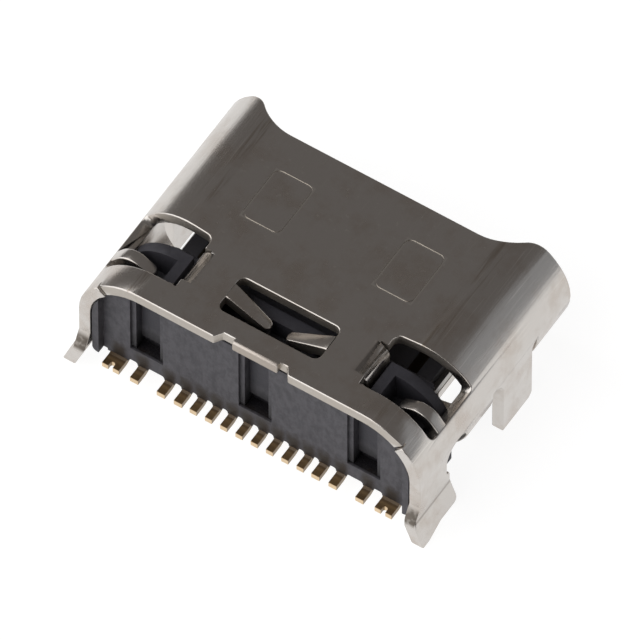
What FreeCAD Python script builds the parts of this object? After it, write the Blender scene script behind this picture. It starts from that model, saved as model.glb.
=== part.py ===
# USB-C socket for surface mounting, sixteen contacts, in millimetres.
# +Z is up off the board, +Y points at the mouth, and the origin lies on the board under the housing.
import FreeCAD, Part

import math
import os
from collections import namedtuple

Vector = FreeCAD.Vector

# Shell: one folded steel sheet
shell_width = 8.94
shell_height = 3.16
shell_length = 6.10
sheet = 0.30
shell_rear = -1.35
shell_lift = 0.02

# Curved recess in the top front edge of the shell
recess_depth = 0.64
recess_flat_half = 2.45
recess_radius = 1.30
shoulder_radius = 0.66

# Side windows in the upper corners of the shell, measured from the shell's rear edge
window_rear = 0.69
window_front = 2.22
window_slant = 0.08
window_inset = 0.50
window_sweep = 62.0
window_corner = 0.19

# Spring finger that dips into each side window
finger_rear = 0.97
finger_width = 0.31
finger_bend = 42.0
finger_reach = 0.66
finger_dip = 0.30
finger_bend_radius = 0.35
finger_tip_radius = 0.13
finger_root_lap = 1.0

# Retaining tab folded down from the inner edge of each side window
tab_rear = 0.92
tab_width = 0.93
tab_radius = 0.23
tab_drop = 0.80
tab_proud = 0.07
tab_slit = 0.04
tab_slit_length = 0.18

# Centre window with its two latch fingers
centre_half = 1.31
centre_rear = 0.69
centre_front = 1.69
centre_corner = 0.17
latch_rear = 1.04
latch_root_width = 0.42
latch_tip_width = 0.27
latch_tip_gap = 0.21
latch_dip = 0.50
latch_tip_radius = 0.12

# Square coined outline on each half of the top of the shell
coin_inner = 1.22
coin_outer = 2.22
coin_rear = 3.05
coin_front = 4.52
coin_corner = 0.18
coin_line = 0.04
coin_depth = 0.015

# Carrier break at the middle of the rear edge, between two notches with sloped outer sides
break_left = 0.53
break_right = 0.65
break_set_back = 0.08
break_bevel_run = 0.07
break_bevel_drop = 0.03
left_notch_floor = 0.82
right_notch_floor = 0.84
notch_depth = 0.20
notch_slope = 0.14
notch_corner = 0.06

# Slits where the rear edge turns down into the side walls
slit_angle = 43.0
slit_width = 0.035
slit_depth = 0.12

# Underside of the shell: open at the rear, seamed along the middle
floor_rear = 2.00
arch_front_radius = 0.50
seam_gap = 0.02
dovetail_from_floor = 1.60
dovetail_neck = 0.45
dovetail_head = 0.80
dovetail_reach = 0.60

# Rear legs, bent outward below the side walls, with levels measured from the board
rear_leg_reach = 0.21
rear_leg_front = 1.17
rear_leg_back = 0.32
rear_leg_waist = 1.05
rear_leg_waist_radius = 0.45
rear_leg_shoulder_level = 0.81
rear_leg_step_level = -0.09
rear_leg_crease_level = 0.48
rear_leg_splay = 0.25
rear_leg_shoulder_corner = 0.05
rear_leg_front_corner = 0.10
tooth_front = 0.48
tooth_tip_width = 0.26
tooth_root_corner = 0.15
tooth_slope_corner = 0.06
tooth_tip_corner = 0.04
wall_overhang = 0.05
stub_top_level = 0.83
stub_bottom_level = 0.33

# Front legs, cut from the lower corners of the tube
front_leg_rear = 3.33
front_leg_front = 4.53
front_leg_reach = 0.30
front_leg_bevel = 0.12
front_opening_rear = 2.95
front_opening_front = 4.75
front_opening_inner = 2.95

# Housing: the black moulding in the rear of the shell, with levels measured from the board
housing_fit = 0.03
housing_rear = 0.19
housing_stop = 1.74
housing_seat_front = 1.96
housing_seat_rear = 0.62
rear_skirt_level = 0.15
end_post_rear = -0.02
end_post_inner = 3.97
end_level = 0.22
end_corner = 0.15
skirt_half = 3.87
scallop_level = 0.25
scallop_corner = 0.07
scallop_margin = 0.03
peg_spacing = 5.78
peg_diameter = 0.55
peg_length = 0.30
peg_from_rear = 1.45
peg_chamfer = 0.0825

# Rear pockets of the housing
pocket_width = 0.86
side_pocket_centre = 2.84
pocket_depth = 0.29
pocket_floor_level = 0.69
pocket_ledge = 0.12
pocket_ledge_depth = 0.07
pocket_undercut = 0.25
pocket_undercut_depth = 0.20

# Pockets of the housing that take the shell's fingers and tabs
finger_room_inner = 2.84
finger_room_rear = 0.84
finger_room_front = 1.47
finger_room_depth = 1.30
tab_room = 0.12
tab_room_depth = 1.25
latch_room_front = 1.43
latch_room_depth = 1.15
latch_ledge_depth = 0.62

# Tongue: two moulded halves with a steel plate between them
tongue_width = 6.50
tongue_thickness = 0.70
tongue_tip_recess = 0.50
tongue_tip_taper = 0.15
tongue_tip_bevel = 0.28
tongue_tip_bevel_drop = 0.21
tongue_nose = 0.25
root_width = 6.90
root_thickness = 1.10
root_length = 0.50
root_bevel = 0.12
carrier_rear = 0.95
carrier_inner_width = 7.64
carrier_inner_cover = 0.10
plate_thickness = 0.20
plate_width = 6.74
latch_notch_depth = 0.32
latch_notch_front = 1.05
latch_notch_length = 0.90
latch_notch_ramp = 0.128
latch_notch_rear_corner = 0.08
latch_notch_front_corner = 0.06
plate_side_corner = 0.15
plate_tip_corner = 0.10

# Contacts: blades on the tongue, tails on the board behind the housing
contact_thickness = 0.15
blade_width = 0.25
blade_pitch = 0.50
tail_pitch = 0.40
power_tail_inner = 1.80
power_tail_step = 0.45
ground_tail_step = 0.62
ground_tail_inset = 0.60
signal_tail_width = 0.18
power_tail_width = 0.21
ground_tail_width = 0.44
long_blade_recess = 0.33
short_blade_recess = 0.63
jog_set_back = 0.08
upper_leg_set_back = 0.96
lower_leg_set_back = 0.52
leg_bend = 0.10
tail_run_level = 0.18
tail_slope_front = 0.42
tail_slope_rear = 0.14
tail_tip = -0.16
foot_lift = 0.01
fork_width = 0.12
fork_depth = 0.14
fork_corner = 0.05

# Places that follow from the sizes above
shell_top = shell_lift + shell_height
half_width = shell_width / 2
corner_radius = shell_height / 2
middle = shell_top - corner_radius
corner_x = half_width - corner_radius
inner_radius = corner_radius - sheet
mouth = shell_rear + shell_length
wall_inner = half_width - sheet
window_inner = corner_x - window_inset
jog_front = housing_stop - jog_set_back
upper_leg = housing_stop - upper_leg_set_back
lower_leg = housing_stop - lower_leg_set_back
power_tail_outer = power_tail_inner + power_tail_step
ground_tail_outer = wall_inner - ground_tail_inset
ground_tail_inner = ground_tail_outer - ground_tail_step

Place = namedtuple("Place", "name side blade_x tail_x tail_width tip_recess leg")
upper = {"side": 1, "leg": upper_leg}
lower = {"side": -1, "leg": lower_leg}
signal = {"tail_width": signal_tail_width, "tip_recess": short_blade_recess}
power = {"tail_width": power_tail_width, "tip_recess": long_blade_recess}
ground = {"tail_width": ground_tail_width, "tip_recess": long_blade_recess}
places = [
    Place("data_a", blade_x=blade_pitch * 0.5, tail_x=tail_pitch * 0.5, **upper, **signal),
    Place("channel_a", blade_x=blade_pitch * 1.5, tail_x=tail_pitch * 2.5, **upper, **signal),
    Place("power_a", blade_x=blade_pitch * 2.5, tail_x=power_tail_outer, **upper, **power),
    Place("ground_a", blade_x=blade_pitch * 5.5, tail_x=ground_tail_outer, **upper, **ground),
    Place("data_b", blade_x=blade_pitch * 0.5, tail_x=tail_pitch * 1.5, **lower, **signal),
    Place("channel_b", blade_x=blade_pitch * 1.5, tail_x=tail_pitch * 3.5, **lower, **signal),
    Place("power_b", blade_x=blade_pitch * 2.5, tail_x=power_tail_inner, **lower, **power),
    Place("ground_b", blade_x=blade_pitch * 5.5, tail_x=ground_tail_inner, **lower, **power),
]


def from_rear(distance):
    return shell_rear + distance


def down(depth):
    return shell_top - depth


def box(x_low, x_high, y_low, y_high, z_low, z_high):
    size = Vector(x_high - x_low, y_high - y_low, z_high - z_low)
    return Part.makeBox(size.x, size.y, size.z, Vector(x_low, y_low, z_low))


def mirrored(shape):
    return shape.mirror(Vector(0, 0, 0), Vector(1, 0, 0))


def both_sides(shape):
    return [shape, mirrored(shape)]


def fused(shapes):
    whole = shapes[0].fuse(shapes[1:]) if len(shapes) > 1 else shapes[0]
    whole = whole.removeSplitter()
    return whole.Solids[0] if len(whole.Solids) == 1 else whole


def cut_away(shape, tools):
    rest = shape.cut(tools)
    rest = rest.removeSplitter()
    return rest.Solids[0] if len(rest.Solids) == 1 else rest


def rounded_edges(points, radii):
    """Straight edges along the points, with an arc of the given radius at each inner point."""
    edges = []
    start = points[0]
    for before, corner, after, radius in zip(points, points[1:], points[2:], radii):
        inward = (before - corner).normalize()
        outward = (after - corner).normalize()
        half_angle = inward.getAngle(outward) / 2
        reach = radius / math.tan(half_angle)
        if radius > 0 and reach > 1e-6:
            first = corner + inward * reach
            last = corner + outward * reach
            bisector = (inward + outward).normalize()
            centre = corner + bisector * (radius / math.sin(half_angle))
            crest = centre - bisector * radius
            if (first - start).Length > 1e-6:
                edges.append(Part.makeLine(start, first))
            edges.append(Part.Arc(first, crest, last).toShape())
            start = last
        else:
            edges.append(Part.makeLine(start, corner))
            start = corner
    if (points[-1] - start).Length > 1e-6:
        edges.append(Part.makeLine(start, points[-1]))
    return edges


def outline_face(points, radii):
    """Closed flat face whose corners have the given radii, corner by corner."""
    middle_of_first = (points[0] + points[-1]) * 0.5
    loop = [middle_of_first] + points + [middle_of_first]
    return Part.Face(Part.Wire(Part.__sortEdges__(rounded_edges(loop, radii))))


def offset_side(points, offset, normal):
    """Points moved sideways by offset, in the plane that normal is square to."""
    moved = []
    for index, point in enumerate(points):
        sides = []
        if index > 0:
            sides.append((point - points[index - 1]).normalize())
        if index < len(points) - 1:
            sides.append((points[index + 1] - point).normalize())
        lefts = [normal.cross(side) for side in sides]
        total = lefts[0] + lefts[-1]
        total.normalize()
        moved.append(point + total * (offset / total.dot(lefts[0])))
    return moved


def ribbon(points, thickness, bends, normal, width):
    """Strip of sheet along the points, extruded. A bend is a radius at its middle, or 0 for a sharp fold."""
    left = offset_side(points, thickness / 2, normal)
    right = offset_side(points, -thickness / 2, normal)
    left_radii = []
    right_radii = []
    for before, corner, after, bend in zip(points, points[1:], points[2:], bends):
        turn = (corner - before).cross(after - corner).dot(normal)
        side = thickness / 2 if turn > 0 else -thickness / 2
        left_radii.append(max(bend - side, 0) if bend else 0)
        right_radii.append(max(bend + side, 0) if bend else 0)
    edges = rounded_edges(left, left_radii)
    edges.append(Part.makeLine(left[-1], right[-1]))
    edges += rounded_edges(right[::-1], right_radii[::-1])
    edges.append(Part.makeLine(right[0], left[0]))
    face = Part.Face(Part.Wire(Part.__sortEdges__(edges)))
    return face.extrude(normal * width)


def side_prism(points, radii, x_low, x_high):
    """Solid with an outline given as (y, z) points, between two x places."""
    face = outline_face([Vector(x_low, y, z) for y, z in points], radii)
    return face.extrude(Vector(x_high - x_low, 0, 0))


def plan_prism(points, radii, z_low, z_high):
    """Solid with an outline given as (x, y) points, between two heights."""
    face = outline_face([Vector(x, y, z_low) for x, y in points], radii)
    return face.extrude(Vector(0, 0, z_high - z_low))


def section_prism(points, radii, y_low, y_high):
    """Solid with an outline given as (x, z) points, between two y places."""
    face = outline_face([Vector(x, y_low, z) for x, z in points], radii)
    return face.extrude(Vector(0, y_high - y_low, 0))


def oval_prism(half, radius, y_low, y_high):
    """Flat oval along Y, centred on the shell's middle height."""
    corners = [(half, middle + radius), (-half, middle + radius),
               (-half, middle - radius), (half, middle - radius)]
    return section_prism(corners, [radius] * 4, y_low, y_high)


def on_corner(radius, angle):
    """Place on the right upper corner, at an angle measured from straight up."""
    turn = math.radians(angle)
    return corner_x + radius * math.sin(turn), middle + radius * math.cos(turn)


def tube():
    """Flat oval tube, with side walls that reach a little further back than its top."""
    rear = from_rear(-wall_overhang)
    outside = oval_prism(half_width, corner_radius, rear, mouth)
    inside = oval_prism(wall_inner, inner_radius, rear - sheet, mouth + sheet)
    edge_x, edge_z = on_corner(corner_radius + sheet, slit_angle)
    trim = [(corner_x, middle), (edge_x, edge_z), (edge_x, shell_top + sheet), (-edge_x, shell_top + sheet),
            (-edge_x, edge_z), (-corner_x, middle)]
    return cut_away(outside, [inside, section_prism(trim, [0] * 6, rear - sheet, from_rear(0))])


def mouth_recess():
    drop = 1 - recess_depth / (recess_radius + shoulder_radius)
    turn = math.acos(drop)
    rise = recess_radius * (1 - math.cos(turn))
    floor = mouth - recess_depth
    inner = Vector(recess_flat_half, floor, middle)
    bend = inner + Vector(recess_radius * math.sin(turn), rise, 0)
    outer = bend + Vector(shoulder_radius * math.sin(turn), recess_depth - rise, 0)
    half_turn = turn / 2
    low_crest = inner + Vector(recess_radius * math.sin(half_turn),
                               recess_radius * (1 - math.cos(half_turn)), 0)
    back = Vector(-shoulder_radius * math.sin(half_turn), -shoulder_radius * (1 - math.cos(half_turn)), 0)
    edges = [
        Part.makeLine(Vector(0, floor, middle), inner),
        Part.Arc(inner, low_crest, bend).toShape(),
        Part.Arc(bend, outer + back, outer).toShape(),
        Part.makeLine(outer, outer + Vector(0, sheet, 0)),
        Part.makeLine(outer + Vector(0, sheet, 0), Vector(0, mouth + sheet, middle)),
        Part.makeLine(Vector(0, mouth + sheet, middle), Vector(0, floor, middle)),
    ]
    half = Part.Face(Part.Wire(edges)).extrude(Vector(0, 0, corner_radius + sheet))
    return fused(both_sides(half))


def side_window():
    """Opening over the shell's upper corner, whose front edge runs forward as it goes round the corner."""
    rear = from_rear(window_rear)
    front = from_rear(window_front)
    outside = half_width + sheet
    plan = [(window_inner, rear), (outside, rear), (outside, front + window_slant * (outside - window_inner)),
            (window_inner, front)]
    opening = plan_prism(plan, [window_corner, 0, 0, window_corner], middle, shell_top + sheet)
    front_end = front + window_slant * (half_width - window_inner)
    sweep = plan_prism([(-half_width, rear), (0, rear), (0, front_end), (-half_width, front_end)],
                       [0, window_corner, window_corner, 0], 0, half_width)
    sweep.rotate(Vector(0, 0, 0), Vector(0, 1, 0), window_sweep)
    sweep.translate(Vector(corner_x, 0, middle))
    return opening.common(sweep).Solids[0]


def side_finger():
    """Finger that leaves the outer edge of a side window, bends over and dips inwards."""
    centre_radius = corner_radius - sheet / 2
    root_x, root_z = on_corner(centre_radius, window_sweep + finger_root_lap)
    bend_x, bend_z = on_corner(centre_radius, finger_bend)
    y = from_rear(finger_rear)
    tip = Vector(bend_x - finger_reach, y, bend_z - finger_dip)
    path = [Vector(root_x, y, root_z), Vector(bend_x, y, bend_z), tip]
    strip = ribbon(path, sheet, [finger_bend_radius], Vector(0, 1, 0), finger_width)
    plan = [(half_width, y), (tip.x, y), (tip.x, y + finger_width), (half_width, y + finger_width)]
    rounding = plan_prism(plan, [0, finger_tip_radius, finger_tip_radius, 0], middle, shell_top)
    return strip.common(rounding).Solids[0]


def side_tab():
    """Tab that rolls down from the inner edge of a side window."""
    y = from_rear(tab_rear)
    centre_line = shell_top - sheet / 2
    turn = Vector(window_inner + tab_proud - sheet / 2, y, centre_line)
    path = [Vector(turn.x - tab_radius, y, centre_line), turn, Vector(turn.x, y, shell_top - tab_drop)]
    return ribbon(path, sheet, [tab_radius], Vector(0, 1, 0), tab_width)


def tab_relief():
    """Room for the tab's roll, a slit at its front end and the square corner of the window behind it."""
    low = from_rear(tab_rear)
    high = low + tab_width
    roll = window_inner + tab_proud - sheet / 2 - tab_radius
    proud = window_inner + tab_proud
    top = shell_top + sheet
    return [box(roll, proud, low, high, middle, top),
            box(window_inner - tab_slit_length, proud, high, high + tab_slit, middle, top),
            box(window_inner, proud, from_rear(window_rear), low, middle, top)]


def centre_window():
    outline = [(-centre_half, from_rear(centre_rear)), (centre_half, from_rear(centre_rear)),
               (centre_half, from_rear(centre_front)), (-centre_half, from_rear(centre_front))]
    return plan_prism(outline, [centre_corner] * 4, middle, shell_top + sheet)


def latch_finger():
    y = from_rear(latch_rear)
    centre_line = shell_top - sheet / 2
    root = centre_half + sheet
    path = [Vector(root, y, centre_line), Vector(centre_half, y, centre_line),
            Vector(latch_tip_gap, y, centre_line - latch_dip)]
    strip = ribbon(path, sheet, [sheet], Vector(0, 1, 0), latch_root_width)
    root_front = y + latch_root_width
    plan = [(root, y), (latch_tip_gap, y), (latch_tip_gap, y + latch_tip_width), (centre_half, root_front),
            (root, root_front)]
    radii = [0, latch_tip_radius, latch_tip_radius, 0, 0]
    return strip.common(plan_prism(plan, radii, middle, shell_top + sheet)).Solids[0]


def coin_line_ring():
    """Shallow groove round one square on the shell's top."""
    loops = []
    for size in (coin_line / 2, -coin_line / 2):
        low = coin_inner - size
        high = coin_outer + size
        rear = from_rear(coin_rear) - size
        front = from_rear(coin_front) + size
        outline = [(low, rear), (high, rear), (high, front), (low, front)]
        loops.append(plan_prism(outline, [coin_corner + size] * 4, shell_top - coin_depth, shell_top + sheet))
    return loops[0].cut(loops[1])


def carrier_break():
    """Two notches in the rear edge, and between them the place where the stamping strip was broken off."""
    rear = from_rear(0)
    deep = rear + notch_depth
    cutters = []
    for side, inner, floor_end in ((-1, break_left, left_notch_floor), (1, break_right, right_notch_floor)):
        slope_end = floor_end + notch_slope
        past = slope_end + notch_slope
        outline = [(side * inner, rear - sheet), (side * inner, deep), (side * floor_end, deep),
                   (side * slope_end, rear), (side * past, rear), (side * past, rear - sheet)]
        corners = [0, 0, notch_corner, notch_corner, 0, 0]
        cutters.append(plan_prism(outline, corners, middle, shell_top + sheet))
    face = rear + break_set_back
    bevel = [(rear - sheet, shell_top + sheet), (face + break_bevel_run, shell_top + sheet),
             (face + break_bevel_run, shell_top), (face, shell_top - break_bevel_drop),
             (face, shell_top - sheet * 2), (rear - sheet, shell_top - sheet * 2)]
    return cutters + [side_prism(bevel, [0] * 6, -break_left, break_right)]


def corner_slit():
    rear = from_rear(-wall_overhang)
    slot = box(-slit_width / 2, slit_width / 2, rear - sheet, from_rear(slit_depth), inner_radius - sheet,
               corner_radius + sheet)
    slot.rotate(Vector(0, 0, 0), Vector(0, 1, 0), slit_angle)
    slot.translate(Vector(corner_x, 0, middle))
    return slot


def underside_opening():
    low = shell_lift - sheet
    floor = from_rear(floor_rear)
    outline = [(from_rear(-sheet), middle), (floor, middle), (floor, low), (from_rear(-sheet), low)]
    return side_prism(outline, [0, arch_front_radius, 0, 0], -half_width - sheet, half_width + sheet)


def seam():
    low = from_rear(floor_rear) - sheet
    neck = from_rear(floor_rear) + dovetail_from_floor
    bulge = (dovetail_head - dovetail_neck) / 2
    stations = [(0, low), (0, neck), (dovetail_reach, neck - bulge),
                (dovetail_reach, neck + dovetail_neck + bulge), (0, neck + dovetail_neck), (0, mouth + sheet)]
    path = [Vector(x, y, shell_lift - sheet) for x, y in stations]
    return ribbon(path, seam_gap, [seam_gap] * 4, Vector(0, 0, 1), sheet * 3)


def rear_leg():
    """Leg below the rear of a side wall, creased outwards and stepped to a tooth, with a sheared stub."""
    crease = rear_leg_crease_level
    bottom = -rear_leg_reach
    low = bottom - sheet
    line = half_width - sheet / 2
    back = from_rear(-rear_leg_back)
    slope = rear_leg_splay / (crease - bottom)
    path = [Vector(line, back, middle), Vector(line, back, crease),
            Vector(line + slope * (crease - low), back, low)]
    plate = ribbon(path, sheet, [sheet], Vector(0, 1, 0), floor_rear)
    rear_wall = from_rear(-wall_overhang)
    waist = from_rear(rear_leg_waist)
    front = from_rear(rear_leg_front)
    radius = rear_leg_waist_radius
    outline = [
        (rear_wall, middle + sheet), (waist + radius, middle + sheet), (waist + radius, middle), (waist, middle),
        (waist, rear_leg_shoulder_level), (front, rear_leg_shoulder_level), (front, rear_leg_step_level),
        (from_rear(tooth_front), rear_leg_step_level), (back + tooth_tip_width, bottom), (back, bottom),
        (back, stub_bottom_level), (rear_wall, stub_top_level),
    ]
    radii = [0, 0, 0, radius, rear_leg_shoulder_corner, rear_leg_front_corner, tooth_root_corner,
             tooth_slope_corner, tooth_tip_corner, tooth_tip_corner, 0, 0]
    splayed = half_width + rear_leg_splay + sheet
    return plate.common(side_prism(outline, radii, wall_inner - sheet, splayed)).Solids[0]


def front_opening():
    low = shell_lift - sheet
    rear = from_rear(front_opening_rear)
    front = from_rear(front_opening_front)
    outside = half_width + sheet
    outline = [(front_opening_inner, rear), (outside, rear), (outside, front), (front_opening_inner, front)]
    return plan_prism(outline, [window_corner, 0, 0, window_corner], low, middle)


def front_leg():
    rear_radius = front_leg_rear - front_opening_rear
    front_radius = front_opening_front - front_leg_front
    bottom = -front_leg_reach
    rear = from_rear(front_leg_rear)
    front = from_rear(front_leg_front)
    rear_sink = rear_radius * (1 - math.sqrt(0.5))
    front_sink = front_radius * (1 - math.sqrt(0.5))
    rear_crest = Vector(wall_inner, rear - rear_sink, middle - rear_sink)
    front_crest = Vector(wall_inner, front + front_sink, middle - front_sink)
    rear_start = Vector(wall_inner, rear - rear_radius, middle)
    rear_end = Vector(wall_inner, rear, middle - rear_radius)
    front_start = Vector(wall_inner, front + front_radius, middle)
    front_end = Vector(wall_inner, front, middle - front_radius)
    low_rear = Vector(wall_inner, rear, bottom)
    low_front = Vector(wall_inner, front - front_leg_bevel, bottom)
    bevel_top = Vector(wall_inner, front, bottom + front_leg_bevel)
    edges = [Part.Arc(rear_start, rear_crest, rear_end).toShape(), Part.makeLine(rear_end, low_rear),
             Part.makeLine(low_rear, low_front), Part.makeLine(low_front, bevel_top),
             Part.makeLine(bevel_top, front_end), Part.Arc(front_end, front_crest, front_start).toShape(),
             Part.makeLine(front_start, rear_start)]
    return Part.Face(Part.Wire(edges)).extrude(Vector(sheet, 0, 0))


def shell():
    cutters = [mouth_recess(), centre_window(), underside_opening(), seam()] + carrier_break()
    for shape in [side_window(), corner_slit(), front_opening(), coin_line_ring()] + tab_relief():
        cutters += both_sides(shape)
    pieces = [cut_away(tube(), cutters)]
    for shape in (side_finger(), side_tab(), latch_finger(), rear_leg(), front_leg()):
        pieces += both_sides(shape)
    return fused(pieces)


def rear_pocket(centre):
    rear = from_rear(housing_rear)
    low = centre - pocket_width / 2
    high = centre + pocket_width / 2
    floor = pocket_floor_level
    ledge = box(low, high, rear - sheet, rear + pocket_ledge_depth, floor, shell_top)
    deep = box(low + pocket_ledge, high - pocket_ledge, rear - sheet, rear + pocket_depth, floor, shell_top)
    undercut = box(low + pocket_ledge, high - pocket_ledge, rear - sheet, rear + pocket_depth + pocket_undercut_depth,
                   floor, floor + pocket_undercut)
    return [ledge, deep, undercut]


def finger_room():
    return box(finger_room_inner, half_width, from_rear(finger_room_rear), from_rear(finger_room_front),
               down(finger_room_depth), shell_top)


def tab_room_box():
    low = window_inner + tab_proud - sheet - tab_room
    high = window_inner + tab_proud + tab_room
    rear = from_rear(tab_rear) - tab_room
    return box(low, high, rear, from_rear(housing_stop) + sheet, down(tab_room_depth), shell_top)


def latch_rooms():
    deep = box(-centre_half - sheet, centre_half + sheet, from_rear(centre_rear), from_rear(latch_room_front),
               down(latch_room_depth), shell_top)
    shelf = box(-centre_half - sheet, centre_half + sheet, from_rear(centre_rear), from_rear(housing_stop) + sheet,
                down(latch_ledge_depth), shell_top)
    return [deep, shelf]


def peg():
    centre = Vector(peg_spacing / 2, from_rear(peg_from_rear), -peg_length)
    pin = Part.makeCylinder(peg_diameter / 2, peg_length + sheet, centre)
    tip = [edge for edge in pin.Edges if abs(edge.BoundBox.ZMax + peg_length) < 1e-6 and edge.Closed]
    return pin.makeChamfer(peg_chamfer, tip)


def block():
    """The black moulding before its pockets: an oval top over straight sides, a post at each rear end."""
    radius = inner_radius - housing_fit
    half = wall_inner - housing_fit
    rear = from_rear(housing_rear)
    seat_rear = from_rear(housing_seat_rear)
    corners = [(half, middle + radius), (-half, middle + radius), (-half, end_level), (half, end_level)]
    body = section_prism(corners, [radius, radius, end_corner, end_corner], from_rear(end_post_rear),
                         from_rear(housing_stop))
    between = box(-end_post_inner, end_post_inner, from_rear(end_post_rear) - sheet, rear, -sheet, shell_top)
    skirt = box(-skirt_half, skirt_half, rear, seat_rear, rear_skirt_level, pocket_floor_level)
    seat = box(-skirt_half, skirt_half, seat_rear, from_rear(housing_seat_front), 0, pocket_floor_level)
    return fused([cut_away(body, [between]), skirt, seat])


def scallops():
    """Arches between neighbouring tails in the lower edge of the housing's rear face."""
    edges = sorted((place.tail_x - place.tail_width / 2, place.tail_x + place.tail_width / 2)
                   for place in places)
    starts = [-edges[0][0]] + [edge[1] for edge in edges]
    ends = [edge[0] for edge in edges] + [skirt_half]
    arches = []
    for start, end in zip(starts, ends):
        low = start + scallop_margin
        high = end - scallop_margin
        outline = [(low, -sheet), (high, -sheet), (high, scallop_level), (low, scallop_level)]
        arch = section_prism(outline, [0, 0, scallop_corner, scallop_corner], from_rear(housing_rear) - sheet,
                             from_rear(housing_seat_rear))
        arches += [arch] if start < 0 else both_sides(arch)
    return arches


def root():
    half = root_width / 2
    low = middle - root_thickness / 2
    high = middle + root_thickness / 2
    front = from_rear(housing_stop) + root_length
    solid = box(-half, half, from_rear(housing_stop) - sheet, front, low, high)
    front_edges = []
    for edge in solid.Edges:
        if all(abs(vertex.Y - front) < 1e-6 for vertex in edge.Vertexes):
            front_edges.append(edge)
    return solid.makeChamfer(root_bevel, front_edges)


def housing(inserts):
    whole = fused([block(), root()] + both_sides(peg()))
    cutters = latch_rooms() + scallops()
    for centre in (-side_pocket_centre, 0, side_pocket_centre):
        cutters += rear_pocket(centre)
    cutters += both_sides(finger_room()) + both_sides(tab_room_box())
    whole = cut_away(whole, cutters)
    return cut_away(whole, inserts)


def tongue_half(side):
    """Upper (side 1) or lower (side -1) half of the tongue, with its wider root inside the housing."""
    face = middle + side * tongue_thickness / 2
    inner_face = middle + side * plate_thickness / 2
    low, high = min(face, inner_face), max(face, inner_face)
    half = tongue_width / 2
    tip = mouth - tongue_tip_recess
    taper = tongue_tip_taper
    plan = [(-half, from_rear(carrier_rear)), (half, from_rear(carrier_rear)), (half, tip - taper * 2),
            (half - taper, tip), (taper - half, tip), (-half, tip - taper * 2)]
    blade = plan_prism(plan, [0, 0, taper, taper, taper, taper], low, high)
    cover = carrier_inner_cover
    base_low, base_high = (low, high + cover) if side > 0 else (low - cover, high)
    base_half = carrier_inner_width / 2
    base_front = from_rear(housing_stop) - sheet / 2
    base = box(-base_half, base_half, from_rear(carrier_rear), base_front, base_low, base_high)
    return fused([blade, base])


def tip_bevel(side):
    front = mouth - tongue_tip_recess + sheet
    rear = mouth - tongue_tip_recess - tongue_tip_bevel
    face = middle + side * tongue_thickness / 2
    outside = face + side * sheet
    outline = [(rear, face), (front, face - side * tongue_tip_bevel_drop), (front, outside), (rear, outside)]
    return side_prism(outline, [0] * 4, -tongue_width, tongue_width)


def mid_plate():
    half = plate_width / 2
    tip = mouth - tongue_tip_recess - tongue_nose
    front = tip - latch_notch_front + tongue_nose
    back = front - latch_notch_length
    rear = from_rear(carrier_rear) + sheet
    inset = half - latch_notch_depth
    ramp = latch_notch_depth
    right = [(half, rear), (half, back - ramp), (inset, back), (inset, front), (half, front + latch_notch_ramp),
             (half, tip - ramp), (half - ramp, tip)]
    left = [(-x, y) for x, y in right[::-1]]
    radii = [0, latch_notch_rear_corner, latch_notch_rear_corner, latch_notch_front_corner, latch_notch_front_corner,
             plate_side_corner, plate_tip_corner]
    return plan_prism(right + left, radii + radii[::-1],
                      middle - plate_thickness / 2, middle + plate_thickness / 2)


def nose():
    """Plastic in front of the mid plate that joins the two halves at the tip."""
    half = tongue_width / 2 - tongue_tip_taper
    tip = mouth - tongue_tip_recess
    return box(-half, half, tip - tongue_nose, tip - tongue_tip_taper / 2, middle - plate_thickness / 2,
               middle + plate_thickness / 2)


def upper_carrier(inserts):
    tip = mouth - tongue_tip_recess
    half = tongue_half(1)
    lower_nose = tongue_half(-1).common(
        box(-tongue_width, tongue_width, tip - tongue_nose, tip + sheet, 0, shell_top))
    whole = fused([half, nose(), lower_nose.Solids[0]])
    return cut_away(whole, [tip_bevel(1), tip_bevel(-1)] + inserts)


def lower_carrier(inserts):
    tip = mouth - tongue_tip_recess
    nose_space = box(-tongue_width, tongue_width, tip - tongue_nose, tip + sheet, 0, shell_top)
    return cut_away(tongue_half(-1), [nose_space] + inserts)


def contact(place):
    """One stamped contact: blade on the tongue, sideways jog inside, leg down and tail out of the rear."""
    thick = contact_thickness
    line = middle + place.side * (tongue_thickness - thick) / 2
    half_blade = blade_width / 2
    half_tail = place.tail_width / 2
    front = mouth - tongue_tip_recess - place.tip_recess
    leg = from_rear(place.leg)
    knee = leg + leg_bend + thick / 2
    jog_rear = knee + thick
    jog_start = from_rear(jog_front)
    blade = box(place.blade_x - half_blade, place.blade_x + half_blade, jog_start, front,
                line - thick / 2, line + thick / 2)
    low = place.tail_x - half_tail
    high = place.tail_x + half_tail
    plan = [(place.blade_x - half_blade, jog_start), (place.blade_x + half_blade, jog_start), (high, jog_rear),
            (high, knee), (low, knee), (low, jog_rear)]
    jog = plan_prism(plan, [0] * 6, line - thick / 2, line + thick / 2)
    foot = foot_lift + thick / 2
    path = [Vector(low, knee, line), Vector(low, leg, line), Vector(low, leg, tail_run_level),
            Vector(low, from_rear(tail_slope_front), tail_run_level), Vector(low, from_rear(tail_slope_rear), foot),
            Vector(low, from_rear(tail_tip), foot)]
    tail = ribbon(path, thick, [0, leg_bend, 0, 0], Vector(1, 0, 0), place.tail_width)
    whole = fused([blade, jog, tail])
    return cut_away(whole, [fork(place)]) if place.tail_width > fork_width * 2 else whole


def fork(place):
    """Slot in the end of a wide tail."""
    low = place.tail_x - fork_width / 2
    high = place.tail_x + fork_width / 2
    rear = from_rear(tail_tip) - sheet
    deep = from_rear(tail_tip) + fork_depth
    outline = [(low, rear), (high, rear), (high, deep), (low, deep)]
    return plan_prism(outline, [0, 0, fork_corner, fork_corner], -sheet, sheet)


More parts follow.
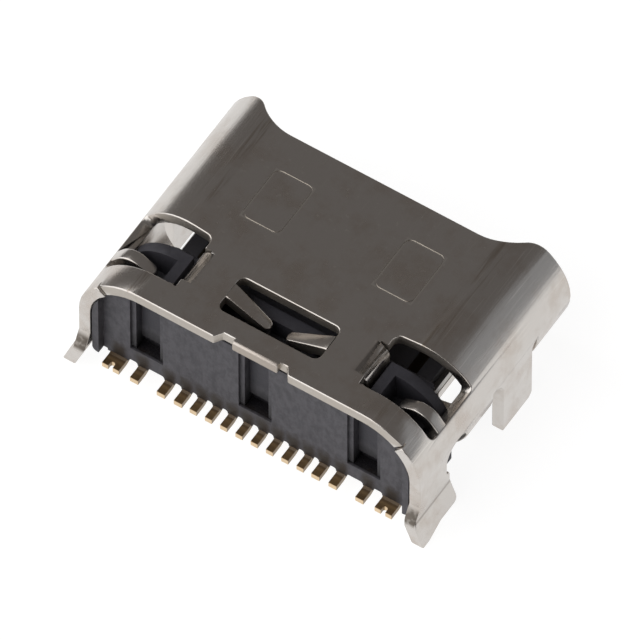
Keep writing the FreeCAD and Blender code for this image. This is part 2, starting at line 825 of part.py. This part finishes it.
def contacts():
    made = {}
    for place in places:
        right = contact(place)
        made[place.name + "_right"] = right
        made[place.name + "_left"] = mirrored(right)
    return made


def build():
    rows = contacts()
    plate = mid_plate()
    metal = list(rows.values()) + [plate]
    top = upper_carrier(metal)
    bottom = lower_carrier(metal)
    nodes = {"shell": shell(), "housing": housing(metal + [top, bottom]), "upper_carrier": top,
             "lower_carrier": bottom, "mid_plate": plate}
    nodes.update(rows)
    return nodes


def main():
    os.makedirs("parts", exist_ok=True)
    for name, shape in build().items():
        shape.exportStep("parts/" + name + ".step")
        print(name, len(shape.Solids), shape.isValid(), round(shape.Volume, 4))


main()
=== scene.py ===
# USB-C socket: a folded steel shell over a black moulding with sixteen gold contacts, seen from behind.
import math

import bmesh
import bpy
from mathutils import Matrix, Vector


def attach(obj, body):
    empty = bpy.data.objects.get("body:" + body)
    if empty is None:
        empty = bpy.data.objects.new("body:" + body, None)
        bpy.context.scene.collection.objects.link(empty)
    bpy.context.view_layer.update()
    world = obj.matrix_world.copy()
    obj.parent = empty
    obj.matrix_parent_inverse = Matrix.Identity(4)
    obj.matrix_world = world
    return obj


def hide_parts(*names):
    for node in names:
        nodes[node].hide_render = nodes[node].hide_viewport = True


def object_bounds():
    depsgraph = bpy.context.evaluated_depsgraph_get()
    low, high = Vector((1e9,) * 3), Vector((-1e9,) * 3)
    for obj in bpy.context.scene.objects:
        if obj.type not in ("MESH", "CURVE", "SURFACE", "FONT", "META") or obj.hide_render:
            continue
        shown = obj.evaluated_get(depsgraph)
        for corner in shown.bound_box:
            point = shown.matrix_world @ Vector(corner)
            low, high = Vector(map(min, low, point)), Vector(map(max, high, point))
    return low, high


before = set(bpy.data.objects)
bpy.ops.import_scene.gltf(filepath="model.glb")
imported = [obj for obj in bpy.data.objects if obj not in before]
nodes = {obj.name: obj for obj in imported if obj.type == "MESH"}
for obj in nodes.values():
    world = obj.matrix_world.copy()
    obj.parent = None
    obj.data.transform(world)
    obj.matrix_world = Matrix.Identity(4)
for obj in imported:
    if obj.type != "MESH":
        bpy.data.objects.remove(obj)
cad_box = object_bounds()
bpy.ops.object.select_all(action="DESELECT")


# Shell
# One sheet of nickel-plated steel, 0.3 mm thick, stamped, folded into a flat-oval tube and closed by a
# dovetail seam underneath. Its edges are rounded by the punch, and rolling leaves fine lines on the corners.
MM = 0.001
SHELL_EDGE = 0.030 * MM
SHELL_EDGE_STEPS = 2
SHELL_TOP = 3.18
COIN_CENTRE = (1.72, 2.435)
COIN_HALF = (0.50, 0.735)
NICKEL = (0.58, 0.55, 0.52, 1)
NICKEL_CUT = (0.43, 0.39, 0.34, 1)
NICKEL_STAIN = (0.47, 0.41, 0.36, 1)
NICKEL_TORN_AND_SHADE = (0.15, 0.13, 0.11, 1)
NICKEL_BROWN = (0.30, 0.24, 0.18, 1)
NICKEL_BRIGHT = (0.78, 0.75, 0.70, 1)
NICKEL_BUMP = 0.0022

# What softened() takes for one point, one plane, an edge to round, a smooth bend and a face square to an axis
SAME_POINT = 0.0005 * MM
SAME_PLANE = math.radians(1.0)
EDGE_TO_ROUND = math.radians(35)
SMOOTH_BEND = math.radians(40)
SQUARE_FACE = 0.99999


class Wave:
    """One shader number. Its operators add Math nodes, so that a mask is written as an expression."""

    def __init__(self, finish, socket):
        self.finish = finish
        self.socket = socket

    def __add__(self, other):
        return self.finish.maths("ADD", self, other)

    def __radd__(self, other):
        return self.finish.maths("ADD", other, self)

    def __sub__(self, other):
        return self.finish.maths("SUBTRACT", self, other)

    def __rsub__(self, other):
        return self.finish.maths("SUBTRACT", other, self)

    def __mul__(self, other):
        return self.finish.maths("MULTIPLY", self, other)

    def __rmul__(self, other):
        return self.finish.maths("MULTIPLY", other, self)

    def __abs__(self):
        return self.finish.maths("ABSOLUTE", self)

    def rise(self, start, end):
        """From 0 at start to 1 at end, with soft ends."""
        ramp = self.finish.maths("DIVIDE", self - start, end - start)
        ramp = self.finish.maths("MAXIMUM", self.finish.maths("MINIMUM", ramp, 1), 0)
        return ramp * ramp * (3 - 2 * ramp)

    def fall(self, start, end):
        """From 1 at start to 0 at end, with soft ends."""
        return 1 - self.rise(start, end)


class Finish:
    """A new material. Its methods add nodes, and x, y and z are the piece's own millimetres."""

    def __init__(self, name):
        self.material = bpy.data.materials.new(name)
        self.material.use_nodes = True
        self.tree = self.material.node_tree
        self.shader = self.tree.nodes["Principled BSDF"]
        self.where = self.node("ShaderNodeTexCoord")
        place = self.where.outputs["Object"]
        scaled = self.node("ShaderNodeVectorMath", {"operation": "SCALE"}, Vector=place, Scale=1 / MM)
        self.place = scaled.outputs["Vector"]
        axes = self.node("ShaderNodeSeparateXYZ", Vector=self.place)
        self.x, self.y, self.z = (Wave(self, axes.outputs[axis]) for axis in "XYZ")

    def node(self, kind, settings=None, **inputs):
        made = self.tree.nodes.new(kind)
        for key, value in (settings or {}).items():
            setattr(made, key, value)
        for key, value in inputs.items():
            self.feed(made.inputs[key.replace("_", " ")], value)
        return made

    def feed(self, socket, value):
        if isinstance(value, Wave):
            value = value.socket
        if isinstance(value, bpy.types.NodeSocket):
            self.tree.links.new(value, socket)
        else:
            socket.default_value = value

    def maths(self, operation, *values):
        made = self.node("ShaderNodeMath", {"operation": operation})
        for socket, value in zip(made.inputs, values):
            self.feed(socket, value)
        return Wave(self, made.outputs[0])

    def facing(self, axis):
        """How far the surface faces along an axis, from -1 to 1."""
        axes = self.node("ShaderNodeSeparateXYZ", Vector=self.where.outputs["Normal"])
        return Wave(self, axes.outputs[axis])

    def noise(self, scale, detail, rough, stretch=None):
        """A cloudy pattern from 0 to 1. A stretch for each axis makes it longer one way."""
        place = self.place
        if stretch:
            stretched = self.node("ShaderNodeVectorMath", {"operation": "MULTIPLY"})
            self.feed(stretched.inputs[0], self.place)
            self.feed(stretched.inputs[1], stretch)
            place = stretched.outputs["Vector"]
        made = self.node("ShaderNodeTexNoise", Vector=place, Scale=scale, Detail=detail, Roughness=rough)
        return Wave(self, made.outputs["Fac"])

    def blend(self, amount, first, second):
        """The first colour where the amount is 0, and the second where it is 1."""
        made = self.node("ShaderNodeMix", {"data_type": "RGBA"})
        self.feed(made.inputs["Factor"], amount)
        self.feed(made.inputs[6], first)
        self.feed(made.inputs[7], second)
        return made.outputs[2]

    def paint(self, colour, roughness, metallic=0.0, height=None, depth=0.0):
        """Feeds the shader. The depth is what a height of 1 stands for, in millimetres."""
        self.feed(self.shader.inputs["Base Color"], colour)
        self.feed(self.shader.inputs["Roughness"], roughness)
        self.feed(self.shader.inputs["Metallic"], metallic)
        if height is not None:
            bump = self.node("ShaderNodeBump", Height=height, Distance=depth * MM, Strength=1.0)
            self.feed(self.shader.inputs["Normal"], bump.outputs["Normal"])

    def cover(self, piece):
        piece.data.materials.clear()
        piece.data.materials.append(self.material)


def softened(node_name, radius, steps, kept_sharp=()):
    """A copy of a CAD node with its sharp edges rounded, but for those in the boxes that are kept sharp.
    A box is its lowest and highest corner in millimetres on the right side, and counts on the left too."""
    piece = nodes[node_name].copy()
    piece.data = nodes[node_name].data.copy()
    piece.name = node_name + "_finished"
    piece.data.name = piece.name
    bpy.context.collection.objects.link(piece)
    bpy.ops.object.select_all(action="DESELECT")
    piece.select_set(True)
    bpy.context.view_layer.objects.active = piece
    bpy.ops.object.mode_set(mode="EDIT")
    bpy.ops.mesh.select_all(action="SELECT")
    bpy.ops.mesh.remove_doubles(threshold=SAME_POINT)
    bpy.ops.mesh.dissolve_limited(angle_limit=SAME_PLANE)
    bpy.ops.object.mode_set(mode="OBJECT")

    mesh = bmesh.new()
    mesh.from_mesh(piece.data)
    weight = mesh.edges.layers.float.new("bevel_weight_edge")
    for edge in mesh.edges:
        centre = (edge.verts[0].co + edge.verts[1].co) / (2 * MM)
        place = (abs(centre.x), centre.y, centre.z)
        plain = any(all(low <= value <= high for low, value, high in zip(lows, place, highs))
                    for lows, highs in kept_sharp)
        rounded = edge.is_convex and edge.calc_face_angle(0) > EDGE_TO_ROUND and not plain
        edge[weight] = 1.0 if rounded else 0.0
    mesh.to_mesh(piece.data)
    mesh.free()

    rounding = piece.modifiers.new("rounded_edges", "BEVEL")
    rounding.width = radius
    rounding.segments = steps
    rounding.limit_method = "WEIGHT"
    rounding.use_clamp_overlap = not kept_sharp
    rounding.harden_normals = False
    bpy.ops.object.modifier_apply(modifier="rounded_edges")
    bpy.ops.object.shade_smooth_by_angle(angle=SMOOTH_BEND)
    evened = piece.modifiers.new("flat_faces_flat", "WEIGHTED_NORMAL")
    evened.keep_sharp = True
    bpy.ops.object.modifier_apply(modifier="flat_faces_flat")

    # Faces square to an axis are lit as truly flat, so that no sliver of one shades like the edge beside it
    normals = [Vector(corner.vector) for corner in piece.data.corner_normals]
    for face in piece.data.polygons:
        if max(abs(part) for part in face.normal) > SQUARE_FACE:
            for corner in face.loop_indices:
                normals[corner] = face.normal.copy()
    piece.data.normals_split_custom_set(normals)
    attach(piece, "root")
    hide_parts(node_name)
    return piece


# Fine lines and slits that rounding would close or smear
COIN_LINES = ((1.10, 1.60, 3.10), (2.30, 3.30, 3.30))
CORNER_SLIT = ((3.50, -1.345, 2.30), (4.30, -1.10, 3.20))
TAB_SLIT = ((2.15, 0.48, 2.70), (2.50, 0.56, 3.30))
SEAM = ((0.0, 0.60, -0.10), (0.65, 5.00, 0.40))
shell = softened("shell", SHELL_EDGE, SHELL_EDGE_STEPS,
                 (COIN_LINES, CORNER_SLIT, TAB_SLIT, SEAM))

# Plating with cloudy stains. From here on a pair is where a mask starts and where it ends, in millimetres for
# a place and as a share for a pattern
STAINED = (0.42, 0.68)
STAIN_STRENGTH = 0.6
CORNER_BEND = (2.80, 3.20)
DRAWN_LINES = (14.0, 0.30, 14.0)
nickel = Finish("nickel_plate")
cloud = nickel.noise(scale=1.1, detail=5.0, rough=0.65)
grain = nickel.noise(scale=9.0, detail=3.0, rough=0.6)
reach = abs(nickel.x)
corner = reach.rise(*CORNER_BEND)
line = nickel.noise(scale=1.0, detail=3.0, rough=0.7, stretch=DRAWN_LINES)
colour = nickel.blend(cloud.rise(*STAINED) * STAIN_STRENGTH, NICKEL, NICKEL_STAIN)

# Brown streaks where the roll forming starts, and bright scratches along them
STREAK_LINES = (11.0, 0.6, 11.0)
STREAKED = (0.50, 0.66)
STREAK_STRENGTH = 0.55
STREAK_FROM = (2.90, 3.00)
STREAK_TO = (3.10, 3.45)
STREAK_LEVEL = (2.4, 2.7)
SCRATCH_LINES = (45.0, 0.5, 45.0)
SCRATCHED = (0.66, 0.70)
SCRATCH_LEVEL = (1.9, 2.4)
SCRATCH_STRENGTH = 0.5
streak = nickel.noise(scale=1.0, detail=3.0, rough=0.6, stretch=STREAK_LINES).rise(*STREAKED)
bend_start = reach.rise(*STREAK_FROM) * reach.fall(*STREAK_TO) * nickel.z.rise(*STREAK_LEVEL)
colour = nickel.blend(streak * bend_start * STREAK_STRENGTH, colour, NICKEL_BROWN)
scratch = nickel.noise(scale=1.0, detail=1.0, rough=0.5, stretch=SCRATCH_LINES).rise(*SCRATCHED)
scratch = scratch * corner * nickel.z.rise(*SCRATCH_LEVEL)
colour = nickel.blend(scratch * SCRATCH_STRENGTH, colour, NICKEL_BRIGHT)

# The punch leaves the cut faces of the windows and of the rear edge rough and dull
UPRIGHT_FACE = (0.15, 0.35)
CUT_LEVEL = (2.60, 2.75)
BEHIND_MOUTH = (4.0, 4.2)
cut = abs(nickel.facing("Z")).fall(*UPRIGHT_FACE) * nickel.z.rise(*CUT_LEVEL) * nickel.y.fall(*BEHIND_MOUTH)
colour = nickel.blend(cut * (0.55 + 0.3 * grain), colour, NICKEL_CUT)

# The sheared ledges above the rear legs are grainy torn metal, darkened partly by a painted dark reflection
# The creases of those legs are darkened by painted shade
LEDGE_INNER = (4.17, 4.19)
LEDGE_OUTER = (4.45, 4.47)
LEDGE_REAR = (-1.40, -1.37)
LEDGE_BOTTOM = (0.34, 0.44)
LEDGE_TOP = (0.66, 0.82)
CREASE_REACH = (4.38, 4.46)
CREASE_BOTTOM = (0.43, 0.47)
CREASE_TOP = (0.49, 0.53)
CREASE_FRONT = (-0.1, 0.2)
CREASE_SHADE_STRENGTH = 0.45
TORN = (0.30, 0.55)
ledge = reach.rise(*LEDGE_INNER) * reach.fall(*LEDGE_OUTER) * nickel.y.fall(*LEDGE_REAR)
torn_and_shaded_ledge = ledge * nickel.z.rise(*LEDGE_BOTTOM) * nickel.z.fall(*LEDGE_TOP)
crease_shade = reach.rise(*CREASE_REACH) * nickel.z.rise(*CREASE_BOTTOM) * nickel.z.fall(*CREASE_TOP)
crease_shade = crease_shade * nickel.y.fall(*CREASE_FRONT)
torn = nickel.noise(scale=8.0, detail=2.0, rough=0.5).rise(*TORN)
# Painted dark reflection on the torn ledges, and painted shade in the creases
colour = nickel.blend(torn_and_shaded_ledge * (0.55 + 0.40 * torn), colour, NICKEL_TORN_AND_SHADE)
colour = nickel.blend(crease_shade * CREASE_SHADE_STRENGTH, colour, NICKEL_TORN_AND_SHADE)

# Fine scratches and pale specks on the flat top, and a painted highlight in a thin line round the two coined
# squares
TOP_LEVEL = (SHELL_TOP - 0.03, SHELL_TOP - 0.02)
TOP_REACH = (2.7, 3.0)
SCUFF_LINES = (26.0, 2.2, 1.0)
SCUFFED = (0.60, 0.72)
SCUFF_STRENGTH = 0.12
SPECKLED = (0.72, 0.76)
SPECK_STRENGTH = 0.25
COIN_HIGHLIGHT_LINE = (0.012, 0.034)
COIN_HIGHLIGHT_CLOUD = (0.35, 0.6)
flat_top = nickel.z.rise(*TOP_LEVEL) * reach.fall(*TOP_REACH)
scuff = nickel.noise(scale=1.0, detail=2.0, rough=0.6, stretch=SCUFF_LINES).rise(*SCUFFED)
colour = nickel.blend(flat_top * scuff * SCUFF_STRENGTH, colour, NICKEL_BRIGHT)
speck = nickel.noise(scale=9.0, detail=1.0, rough=0.4).rise(*SPECKLED)
colour = nickel.blend(flat_top * speck * SPECK_STRENGTH, colour, NICKEL_BRIGHT)
# Painted highlight along the step round each coined square, brighter where the cloud is
beside = abs(reach - COIN_CENTRE[0]) - COIN_HALF[0]
before = abs(nickel.y - COIN_CENTRE[1]) - COIN_HALF[1]
outside_coin = nickel.maths("MAXIMUM", beside, before)
coin_edge_highlight = abs(outside_coin).fall(*COIN_HIGHLIGHT_LINE) * flat_top
colour = nickel.blend(coin_edge_highlight * (0.15 + 0.45 * cloud.rise(*COIN_HIGHLIGHT_CLOUD)), colour, NICKEL_BRIGHT)

# The end of the carrier strip, broken off at the middle of the rear edge, is dull
STRIP_REACH = (0.60, 0.66)
STRIP_REAR = (-1.22, -1.18)
STRIP_LEVEL = (2.80, 2.84)
STRIP_STRENGTH = 0.5
strip_end = reach.fall(*STRIP_REACH) * nickel.y.fall(*STRIP_REAR) * nickel.z.rise(*STRIP_LEVEL)
colour = nickel.blend(strip_end * STRIP_STRENGTH, colour, NICKEL_STAIN)

plain_roughness = 0.20 + 0.08 * cloud + 0.04 * grain
roughness = plain_roughness + 0.3 * torn_and_shaded_ledge + 0.2 * strip_end + 0.2 * cut
height = 0.4 * grain + corner * line * 1.2
nickel.paint(colour, roughness, 1.0, height, NICKEL_BUMP)
nickel.cover(shell)


# Housing
# Black glass-filled plastic moulded round the contacts and pushed into the rear of the shell. Its rear face
# is mottled grey, with painted shade spreading up it above every tail.
HOUSING_EDGE = 0.015 * MM
HOUSING_EDGE_STEPS = 1
PLASTIC = (0.082, 0.079, 0.090, 1)
PLASTIC_DARK = (0.042, 0.040, 0.047, 1)
PLASTIC_INSIDE_SHADE = (0.030, 0.029, 0.038, 1)
PLASTIC_POCKET_SHADE = (0.008, 0.007, 0.008, 1)
PLASTIC_BUMP = 0.006
MOTTLED = (0.36, 0.62)
FLOW_MARKS = (7.0, 7.0, 3.0)
housing = softened("housing", HOUSING_EDGE, HOUSING_EDGE_STEPS)
plastic = Finish("black_moulding")
mottle = plastic.noise(scale=3.5, detail=5.0, rough=0.65)
fine = plastic.noise(scale=18.0, detail=2.0, rough=0.6)
worn = plastic.noise(scale=1.0, detail=4.0, rough=0.7, stretch=FLOW_MARKS)
colour = plastic.blend((0.5 * mottle + 0.5 * worn).rise(*MOTTLED), PLASTIC_DARK, PLASTIC)

# Painted shade inside the shell and in the pockets: an even darker colour laid over the mottle
INSIDE_FROM = (-1.00, -0.90)
INSIDE_LEVEL = (1.2, 1.5)
INSIDE_SHADE_STRENGTH = 0.8
POCKET_REAR = (-1.14, -1.08)
POCKET_FRONT = (-0.80, -0.70)
POCKET_BOTTOM = (0.60, 0.66)
POCKET_SHADE = (0.78, 1.60)
POCKET_SHADE_STRENGTH = 0.9
POCKET_FLOOR = (0.70, 0.76)
# Painted shade inside the shell
shade_inside = plastic.y.rise(*INSIDE_FROM) * plastic.z.rise(*INSIDE_LEVEL)
colour = plastic.blend(shade_inside * INSIDE_SHADE_STRENGTH, colour, PLASTIC_INSIDE_SHADE)
# Painted shade in the pockets, darkest low down
pocket = plastic.y.rise(*POCKET_REAR) * plastic.y.fall(*POCKET_FRONT) * plastic.z.rise(*POCKET_BOTTOM)
colour = plastic.blend(pocket * plastic.z.fall(*POCKET_SHADE) * POCKET_SHADE_STRENGTH, colour, PLASTIC_POCKET_SHADE)
pocket_floor = pocket * plastic.z.fall(*POCKET_FLOOR)

# Painted shade on the rear face, in a ragged halo above each tail. A tail is given by its distance from the
# middle
TAIL_HALO_SHADE = (0.020, 0.013, 0.008, 1)
TAIL_HALO_SHADE_STRENGTH = 0.95
TAILS = (0.20, 0.60, 1.00, 1.40, 1.80, 2.25, 2.95, 3.57)
HALO_REACH = (0.07, 0.25)
HALO_TOP = (0.58, 0.96)
HALO_FRONT = (-1.05, -0.95)
HALO_RAG = 0.30
rag_noise = plastic.noise(scale=7.0, detail=3.0, rough=0.6)
reach = abs(plastic.x)
halo = None
for tail in TAILS:
    near = abs(reach - tail).fall(*HALO_REACH)
    halo = near if halo is None else plastic.maths("MAXIMUM", halo, near)
height_above = plastic.z + HALO_RAG * rag_noise
halo = halo * height_above.fall(*HALO_TOP) * plastic.y.fall(*HALO_FRONT)
colour = plastic.blend(halo * TAIL_HALO_SHADE_STRENGTH, colour, TAIL_HALO_SHADE)
roughness = 0.55 + 0.2 * mottle - 0.4 * pocket_floor
plastic.paint(colour, roughness, 0.0, fine + 0.5 * mottle, PLASTIC_BUMP)
plastic.cover(housing)


# Tongue
# Two slim black mouldings hold the eight upper and eight lower contacts. A rolled steel plate lies between
# them, and its side edges show.
TONGUE_DARK = (0.036, 0.035, 0.04, 1)
TONGUE_PALE = (0.05, 0.048, 0.056, 1)
TONGUE_BUMP = 0.003
tongue = Finish("tongue_moulding")
speck = tongue.noise(scale=12.0, detail=3.0, rough=0.6)
colour = tongue.blend(speck, TONGUE_DARK, TONGUE_PALE)
tongue.paint(colour, 0.45 + 0.15 * speck, 0.0, speck, TONGUE_BUMP)
tongue.cover(nodes["upper_carrier"])
tongue.cover(nodes["lower_carrier"])

STEEL = (0.50, 0.49, 0.47, 1)
STEEL_PALE = (0.58, 0.57, 0.55, 1)
STEEL_BUMP = 0.0015
ROLLING_LINES = (1.0, 12.0, 1.0)
plate = Finish("plate_steel")
rolled = plate.noise(scale=1.0, detail=3.0, rough=0.6, stretch=ROLLING_LINES)
colour = plate.blend(rolled, STEEL, STEEL_PALE)
plate.paint(colour, 0.28 + 0.14 * rolled, 1.0, rolled, STEEL_BUMP)
plate.cover(nodes["mid_plate"])


# Contacts
# Copper strip, stamped, folded and gold-plated, eight above and eight below the plate. The tops of the tails
# get a painted dark reflection and their sides are darker, painted shade covers their roots, and the plastic
# shades the roots of the blades.
GOLD = (0.76, 0.60, 0.40, 1)
GOLD_TARNISHED = (0.64, 0.48, 0.30, 1)
GOLD_DARK_REFLECTION = (0.46, 0.30, 0.15, 1)
GOLD_SIDE = (0.15, 0.10, 0.05, 1)
GOLD_ROOT_SHADE = (0.045, 0.028, 0.014, 1)
GOLD_SHADED = (0.02, 0.015, 0.012, 1)
GOLD_BUMP = 0.002
TAIL_FACE = (0.140, 0.152)
TAIL_SLOPE = (0.30, 0.36)
TAIL_FRONT = (-0.9, -0.7)
SIDE_FACE = (0.4, 0.7)
SIDE_STRENGTH = 0.9
ROOT_SHADE_FROM = (-1.40, -1.24)
ROOT_SHADE_STRENGTH = 0.85
BLADE_REAR = (-0.6, -0.5)
BLADE_FRONT = (1.7, 1.9)
BLADE_LEVEL = (0.6, 0.8)
BLADE_STRENGTH = 0.95
gold = Finish("gold_plate")
tarnish = gold.noise(scale=6.0, detail=3.0, rough=0.6)
colour = gold.blend(tarnish, GOLD, GOLD_TARNISHED)
# Painted dark reflection on the tops of the tails
tail_top = gold.z.rise(*TAIL_FACE) * gold.z.fall(*TAIL_SLOPE) * gold.y.fall(*TAIL_FRONT)
colour = gold.blend(tail_top, colour, GOLD_DARK_REFLECTION)
# Painted shade on the tails where they leave the moulding, also made less metallic there
shaded_root = tail_top * gold.y.rise(*ROOT_SHADE_FROM)
colour = gold.blend(shaded_root * ROOT_SHADE_STRENGTH, colour, GOLD_ROOT_SHADE)
blade_root = gold.y.rise(*BLADE_REAR) * gold.y.fall(*BLADE_FRONT) * gold.z.rise(*BLADE_LEVEL)
colour = gold.blend(blade_root * BLADE_STRENGTH, colour, GOLD_SHADED)
tail_side = abs(gold.facing("X")).rise(*SIDE_FACE) * gold.y.fall(*TAIL_FRONT)
colour = gold.blend(tail_side * SIDE_STRENGTH, colour, GOLD_SIDE)
gold.paint(colour, 0.26 + 0.14 * tarnish, 1.0 - 0.9 * shaded_root, tarnish, GOLD_BUMP)
for name, node in nodes.items():
    if name.endswith("_right") or name.endswith("_left"):
        gold.cover(node)


# Floor
# A white card under the part. The camera and reflections see a glow over a dim colour, which is pure white
# with a pale shadow. The light that it throws back on the part comes from its plain white, without the glow.
FLOOR_SIZE = 2.0
CARD_WHITE = (0.9, 0.9, 0.9, 1)
CARD_UNDER_GLOW = (0.25, 0.25, 0.25, 1)
NO_GLOW = (0, 0, 0, 1)
CARD_ROUGHNESS = 0.9
floor_level = cad_box[0][2]
bpy.ops.mesh.primitive_plane_add(size=FLOOR_SIZE, location=(0, 0, floor_level))
floor = bpy.context.object
floor.name = "floor"
card = Finish("white_card")
rays = card.node("ShaderNodeLightPath")
seen = Wave(card, rays.outputs["Is Camera Ray"])
for ray in ("Is Glossy Ray", "Is Transmission Ray"):
    seen = card.maths("MAXIMUM", seen, Wave(card, rays.outputs[ray]))
card.paint(card.blend(seen, CARD_WHITE, CARD_UNDER_GLOW), CARD_ROUGHNESS)
card.feed(card.shader.inputs["Emission Color"], card.blend(seen, NO_GLOW, CARD_WHITE))
card.feed(card.shader.inputs["Emission Strength"], 1.0)
card.cover(floor)


# Camera
# The photograph looks down from behind and to the right, from far away and through a long lens. The middle of
# the part falls on a pixel a little off the middle of the frame.
VIEW_TURN = math.radians(32.78)
VIEW_RISE = math.radians(55.18)
VIEW_DISTANCE = 0.55
PIXELS_PER_METRE = 45430
FRAME_PIXELS = 640
PART_MIDDLE = Vector((0.0, 1.7, 1.6)) * MM
PART_PIXEL = (325.4, 300.7)
SENSOR = 36
across = Vector((math.cos(VIEW_TURN), math.sin(VIEW_TURN), 0))
forward = Vector((-math.sin(VIEW_TURN) * math.cos(VIEW_RISE),
                  math.cos(VIEW_TURN) * math.cos(VIEW_RISE),
                  -math.sin(VIEW_RISE)))
upward = across.cross(forward)
shift_across = (FRAME_PIXELS / 2 - PART_PIXEL[0]) / PIXELS_PER_METRE
shift_upward = (PART_PIXEL[1] - FRAME_PIXELS / 2) / PIXELS_PER_METRE
aim = PART_MIDDLE + across * shift_across + upward * shift_upward
bpy.ops.object.camera_add(location=aim - forward * VIEW_DISTANCE)
camera = bpy.context.object
camera.rotation_euler = forward.to_track_quat("-Z", "Y").to_euler()
camera.data.sensor_width = SENSOR
camera.data.lens = PIXELS_PER_METRE * VIEW_DISTANCE / FRAME_PIXELS * SENSOR
camera.data.clip_start = 0.01
camera.data.clip_end = 10
bpy.context.scene.camera = camera


# Light
# A dark studio over a white card, lit by one large soft box low at the left, behind the part, and a dim cool
# one at the right in front of it.
STUDIO_GREY = (0.152, 0.143, 0.138, 1)
COOL_WHITE = (0.85, 0.92, 1.0)
world = bpy.data.worlds.new("studio")
bpy.context.scene.world = world
world.use_nodes = True
world.node_tree.nodes["Background"].inputs["Color"].default_value = STUDIO_GREY
world.node_tree.nodes["Background"].inputs["Strength"].default_value = 1.0


def softbox(name, direction, distance, size, radiance):
    """A square lamp that looks as bright as the given radiance, in a direction from the part."""
    bpy.ops.object.light_add(type="AREA", location=Vector(direction).normalized() * distance)
    lamp = bpy.context.object
    lamp.name = name
    lamp.data.shape = "SQUARE"
    lamp.data.size = size
    lamp.data.energy = radiance * math.pi * size * size
    lamp.rotation_euler = (-lamp.location).to_track_quat("-Z", "Y").to_euler()
    lamp.visible_camera = False
    return lamp


softbox("key_box", direction=(-0.62, -0.68, 0.52), distance=0.70, size=1.30, radiance=1.6)
cool_box = softbox("cool_box", direction=(0.86, 0.48, 0.22), distance=0.60, size=0.50, radiance=0.25)
cool_box.data.color = COOL_WHITE

bpy.context.scene.view_settings.view_transform = "Standard"
